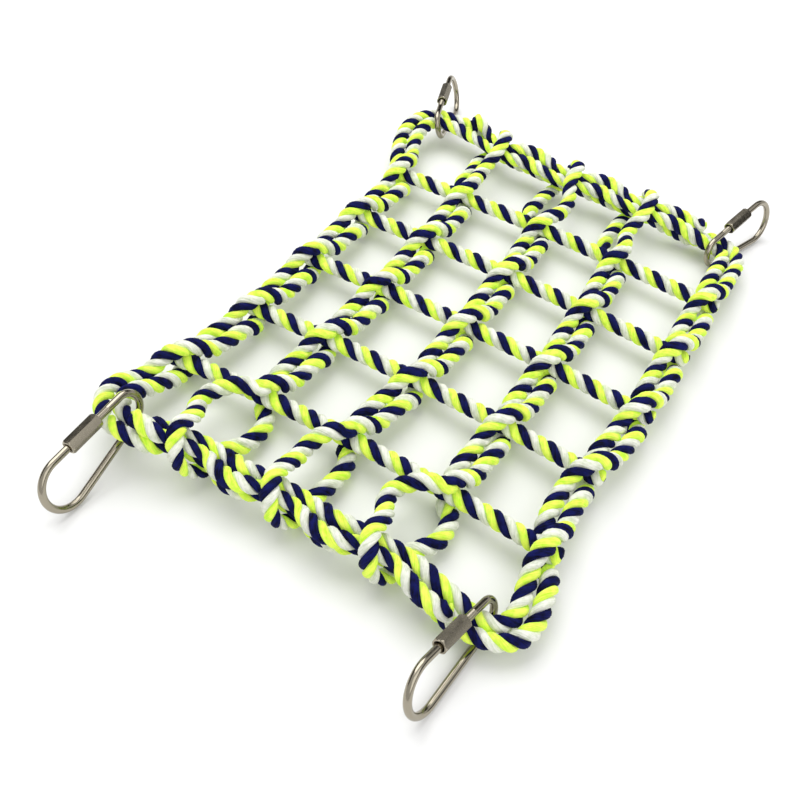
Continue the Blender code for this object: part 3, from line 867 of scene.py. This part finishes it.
def make_loop_rope(column, end):
    """Inner pair beyond the last cross rope: one rope looped round the border."""
    seam = crossing_y(column, 2 * end)
    halves = []
    for strand in (-1, 1):
        halves.append(pair_slice(column, strand, seam, seam + end * 3))
    controls = [halves[0][0][0], halves[0][0][-1]] + loop_controls(column, end)
    controls += [halves[1][0][-1], halves[1][0][0]]
    curve = spline(controls, 12)[13:-13]
    centre_y = border_axis(end, loop_x(column, end))[1]
    sizes = []
    for point in curve:
        near_wrap = smooth((20 - abs(point[1] - centre_y)) / 8)
        sizes.append((ROPE_RADIUS, mix(ROPE_RADIUS, LOOP_HALF_THICKNESS, near_wrap)))
    points = halves[0][0] + curve + halves[1][0][::-1]
    sizes = halves[0][1] + sizes + halves[1][1][::-1]
    points, sizes = resample(points, sizes)
    points = relax(points, passes=8, hold=4)
    seams = [(column, strand, seam) for strand in (-1, 1)]
    path = Path(points, sizes[:, 0], sizes[:, 1], X_AXIS,
                pair_direction(*seams[0]) * end, pair_direction(*seams[1]) * -end)
    phase = matched_phase(path, seam_direction(*seams[0]), seam_direction(*seams[1]), PAIR_LAY)
    order = seam_order(seams[0], end)
    mesh = MeshData()
    add_rope(mesh, path, phase, order)
    word = "near" if end < 0 else "far"
    part = mesh.make("%s_loop_%s_twisted_rope" % (word, column[6:]), FIBRES)
    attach(part, word + "_panel")
    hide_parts("%s_loop_%s_rope" % (word, column[6:]))


# ---------------------------------------------------------------- quick links

def link_matrix(corner):
    """Placement of a quick link: origin on its swing axis, Y to the narrow end."""
    side, end = CORNERS[corner][:2]
    slope, plan_turn, lean = CORNERS[corner][4:]
    origin = Vector(hook_point(side, end) * MM)
    heading = math.radians(plan_turn)
    rise = math.radians(slope)
    inward = Vector((math.sin(heading) * math.cos(rise),
                     -end * math.cos(heading) * math.cos(rise), math.sin(rise)))
    level = inward.cross(Vector((0, 0, 1))).normalized()
    upright = level.cross(inward)
    tilt = math.radians(lean) * (1 if end < 0 else -1)
    upper = upright * math.cos(tilt) - level * math.sin(tilt)
    normal = inward.cross(upper)
    rotation = Matrix((normal, inward, upper)).transposed()
    return Matrix.Translation(origin) @ rotation.to_4x4()


def leg_ends():
    """Ends of the upper straight leg of a link, narrow end first."""
    lean = (WIDE_RADIUS - NARROW_RADIUS) / ARC_SPACING
    rise = math.sqrt(1 - lean * lean)
    narrow = np.array((0, HOOK_OFFSET + NARROW_RADIUS * lean, NARROW_RADIUS * rise))
    wide = np.array((0, HOOK_OFFSET - ARC_SPACING + WIDE_RADIUS * lean, WIDE_RADIUS * rise))
    return narrow, wide


def wire_mesh(points, radii, name, material):
    """Round bar through points with a radius at each."""
    path = Path(points, radii, radii, X_AXIS)
    angle = np.linspace(0, 2 * math.pi, WIRE_SIDES, endpoint=False)
    first = np.cos(angle)[None, :] * path.half_hint[:, None]
    second = np.sin(angle)[None, :] * path.half_other[:, None]
    rings = (path.points[:, None, :] + path.a[:, None, :] * first[..., None]
             + path.b[:, None, :] * second[..., None])
    mesh = MeshData()
    mesh.add_grid(rings, 0, angle / (2 * math.pi), path.length * 0.01)
    return mesh.make(name, [material])


def make_link(corner):
    """Bent wire of a quick link and the sleeve that closes its gap."""
    narrow, wide = leg_ends()
    leg = (wide - narrow) / np.linalg.norm(wide - narrow)
    reach = math.asin((WIDE_RADIUS - NARROW_RADIUS) / ARC_SPACING)
    points = []
    radii = []
    # The wire ends are threaded where they meet inside the sleeve
    for place in np.arange(GAP_START, 1.0, -0.1):
        points.append(narrow + leg * place)
        radii.append(thread_radius(GAP_START - place))
    for turn in np.linspace(math.pi / 2 - reach, -math.pi / 2 + reach, 40):
        offset = np.array((0, math.cos(turn), math.sin(turn))) * NARROW_RADIUS
        points.append(np.array((0, HOOK_OFFSET, 0)) + offset)
        radii.append(WIRE_RADIUS)
    for turn in np.linspace(-math.pi / 2 + reach, -3 * math.pi / 2 - reach, 60):
        offset = np.array((0, math.cos(turn), math.sin(turn))) * WIDE_RADIUS
        points.append(np.array((0, HOOK_OFFSET - ARC_SPACING, 0)) + offset)
        radii.append(WIRE_RADIUS)
    length = np.linalg.norm(wide - narrow)
    for place in np.arange(length - 1.0, GAP_END, -0.1):
        points.append(narrow + leg * place)
        radii.append(thread_radius(place - GAP_END))
    part = wire_mesh(points, radii, corner + "_quick_link_wire", WIRE_FINISH)
    part.matrix_world = link_matrix(corner)
    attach(part, corner + "_link")
    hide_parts(corner + "_link_body")
    make_sleeve(corner, narrow, leg)


def thread_radius(distance):
    """Wire radius at a distance from a cut end: chamfer, then fine thread."""
    if distance > THREAD_LENGTH:
        return WIRE_RADIUS
    chamfer = min(distance / THREAD_CHAMFER, 1.0)
    groove = 0.5 - 0.5 * math.cos(2 * math.pi * distance / THREAD_PITCH)
    return (WIRE_RADIUS - THREAD_DEPTH * groove) * mix(THREAD_TIP, 1.0, chamfer)


def make_sleeve(corner, narrow, leg):
    """Six-sided sleeve with turned, chamfered ends."""
    around = SLEEVE_SIDES
    angle = np.linspace(0, 2 * math.pi, around, endpoint=False)
    sector = np.abs(np.mod(angle, math.pi / 3) - math.pi / 6)
    apothem = SLEEVE_RADIUS * math.cos(math.pi / 6)
    # The edges between the flats are slightly broken
    hexagon = mix(apothem, apothem / np.cos(sector), 0.94)
    places = np.concatenate((
        np.linspace(0, SLEEVE_END, 13),
        np.linspace(SLEEVE_END, SLEEVE_LENGTH - SLEEVE_END, 9)[1:-1],
        np.linspace(SLEEVE_LENGTH - SLEEVE_END, SLEEVE_LENGTH, 13),
    ))
    profile = [(0.6, SLEEVE_BORE), (0.0, SLEEVE_BORE + 0.35)]
    rings = []
    for place, radius in profile:
        rings.append((np.full(around, radius), place))
    for place in places:
        from_end = min(place, SLEEVE_LENGTH - place)
        cone = 2.75 + 0.55 * min(from_end / 0.25, 1.0) ** 0.5 + max(from_end - 0.25, 0) * 0.55
        rings.append((np.minimum(hexagon, cone), place))
    for place, radius in reversed(profile):
        rings.append((np.full(around, radius), SLEEVE_LENGTH - place))
    grid = []
    for size, place in rings:
        level = np.full(around, place)
        grid.append(np.stack((np.cos(angle) * size, level, np.sin(angle) * size), axis=1))
    mesh = MeshData()
    stations = len(rings)
    index = np.arange(stations * around).reshape(stations, around)
    mesh.vertices.append(np.concatenate(grid))
    mesh.count = stations * around
    after = np.roll(index, -1, axis=1)
    below = np.roll(index, -1, axis=0)
    below_after = np.roll(after, -1, axis=0)
    quads = np.stack((index, below, below_after, after), axis=-1).reshape(-1, 4)
    mesh.faces += quads.tolist()
    mesh.slots += [0] * len(quads)
    turns = np.tile(angle / (2 * math.pi), stations)
    mesh.uvs.append(np.stack((np.repeat(turns, 4), np.zeros(len(turns) * 4)), axis=1))
    part = mesh.make(corner + "_quick_link_sleeve", [SLEEVE_FINISH])
    part.data.set_sharp_from_angle(angle=math.radians(24))
    leg = Vector(leg)
    across = Vector((1, 0, 0))
    rotation = Matrix((across, leg, across.cross(leg))).transposed()
    seat = Vector(narrow * MM) + leg * (SLEEVE_START * MM)
    part.matrix_world = link_matrix(corner) @ Matrix.Translation(seat) @ rotation.to_4x4()
    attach(part, corner + "_sleeve")
    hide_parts(corner + "_link_sleeve")


# ---------------------------------------------------------------- stage

def make_sheet(name, width, height, finish, colour, roughness):
    """Flat sheet that belongs to the stage, with a material named by its finish."""
    x = width / 2
    y = height / 2
    data = bpy.data.meshes.new(name)
    data.from_pydata([(-x, -y, 0), (x, -y, 0), (x, y, 0), (-x, y, 0)], [], [(0, 1, 2, 3)])
    sheet = bpy.data.objects.new(name, data)
    bpy.context.scene.collection.objects.link(sheet)
    material = bpy.data.materials.new(finish)
    material.use_nodes = True
    shader = material.node_tree.nodes["Principled BSDF"]
    shader.inputs["Base Color"].default_value = colour
    shader.inputs["Roughness"].default_value = roughness
    data.materials.append(material)
    return sheet


def make_floor():
    """Pale paper under the net."""
    floor = make_sheet("floor", FLOOR_SIZE, FLOOR_SIZE, "floor_paper",
                       (0.86, 0.86, 0.86, 1.0), 0.9)
    floor.location = (0, 0, FLOOR_LEVEL * MM)


def make_card(name, place, width, height):
    """Dark card beside the table, seen only in polished metal."""
    card = make_sheet(name, width, height, name + "_paint", (0.008, 0.007, 0.005, 1.0), 1.0)
    card.location = place
    card.rotation_euler = Vector(place).to_track_quat("Z", "Y").to_euler()
    card.visible_camera = False
    card.visible_diffuse = False
    card.visible_shadow = False


def make_light(name, place, size, power):
    """Square soft light that faces the origin."""
    data = bpy.data.lights.new(name, "AREA")
    data.shape = "SQUARE"
    data.size = size
    data.energy = power
    light = bpy.data.objects.new(name, data)
    light.location = place
    light.rotation_euler = Vector(place).to_track_quat("Z", "Y").to_euler()
    bpy.context.scene.collection.objects.link(light)


def make_world():
    """Even white surroundings."""
    world = bpy.data.worlds.new("studio")
    bpy.context.scene.world = world
    world.use_nodes = True
    background = world.node_tree.nodes["Background"]
    background.inputs["Color"].default_value = (1.0, 1.0, 1.0, 1.0)
    background.inputs["Strength"].default_value = 0.7


def make_camera():
    """Camera beyond the near right corner, looking down across the net."""
    data = bpy.data.cameras.new("camera")
    data.lens = CAMERA_LENS
    data.sensor_width = 36.0
    data.clip_start = 0.01
    camera = bpy.data.objects.new("camera", data)
    camera.location = CAMERA_PLACE
    camera.rotation_euler = [math.radians(turn) for turn in CAMERA_TURN]
    bpy.context.scene.collection.objects.link(camera)
    bpy.context.scene.camera = camera


# ---------------------------------------------------------------- the whole scene

for column in COLUMNS:
    for span in (1, 2, 3, 4):
        make_pair_span(column, span)
for number in range(1, 6):
    make_cross_rope(number)
for end in (-1, 1):
    make_border_rope(end, "outer")
    make_border_rope(end, "inner")
    make_core_rope(end)
    for column in INNER_COLUMNS:
        make_loop_rope(column, end)
for corner in CORNERS:
    make_link(corner)
make_floor()
make_world()
make_light("key", (-0.5, 0.3, 1.2), 1.3, 14.0)
make_light("fill", (0.9, -0.5, 0.9), 1.2, 5.0)
make_card("card_far", (-0.5, 2.0, 1.3), 3.2, 1.1)
make_card("card_left", (-2.0, -0.3, 0.9), 2.8, 1.2)
make_card("card_right", (2.0, 0.4, 0.8), 2.4, 0.8)
make_camera()
bpy.context.scene.view_settings.view_transform = "Standard"
bpy.context.scene.view_settings.look = "None"
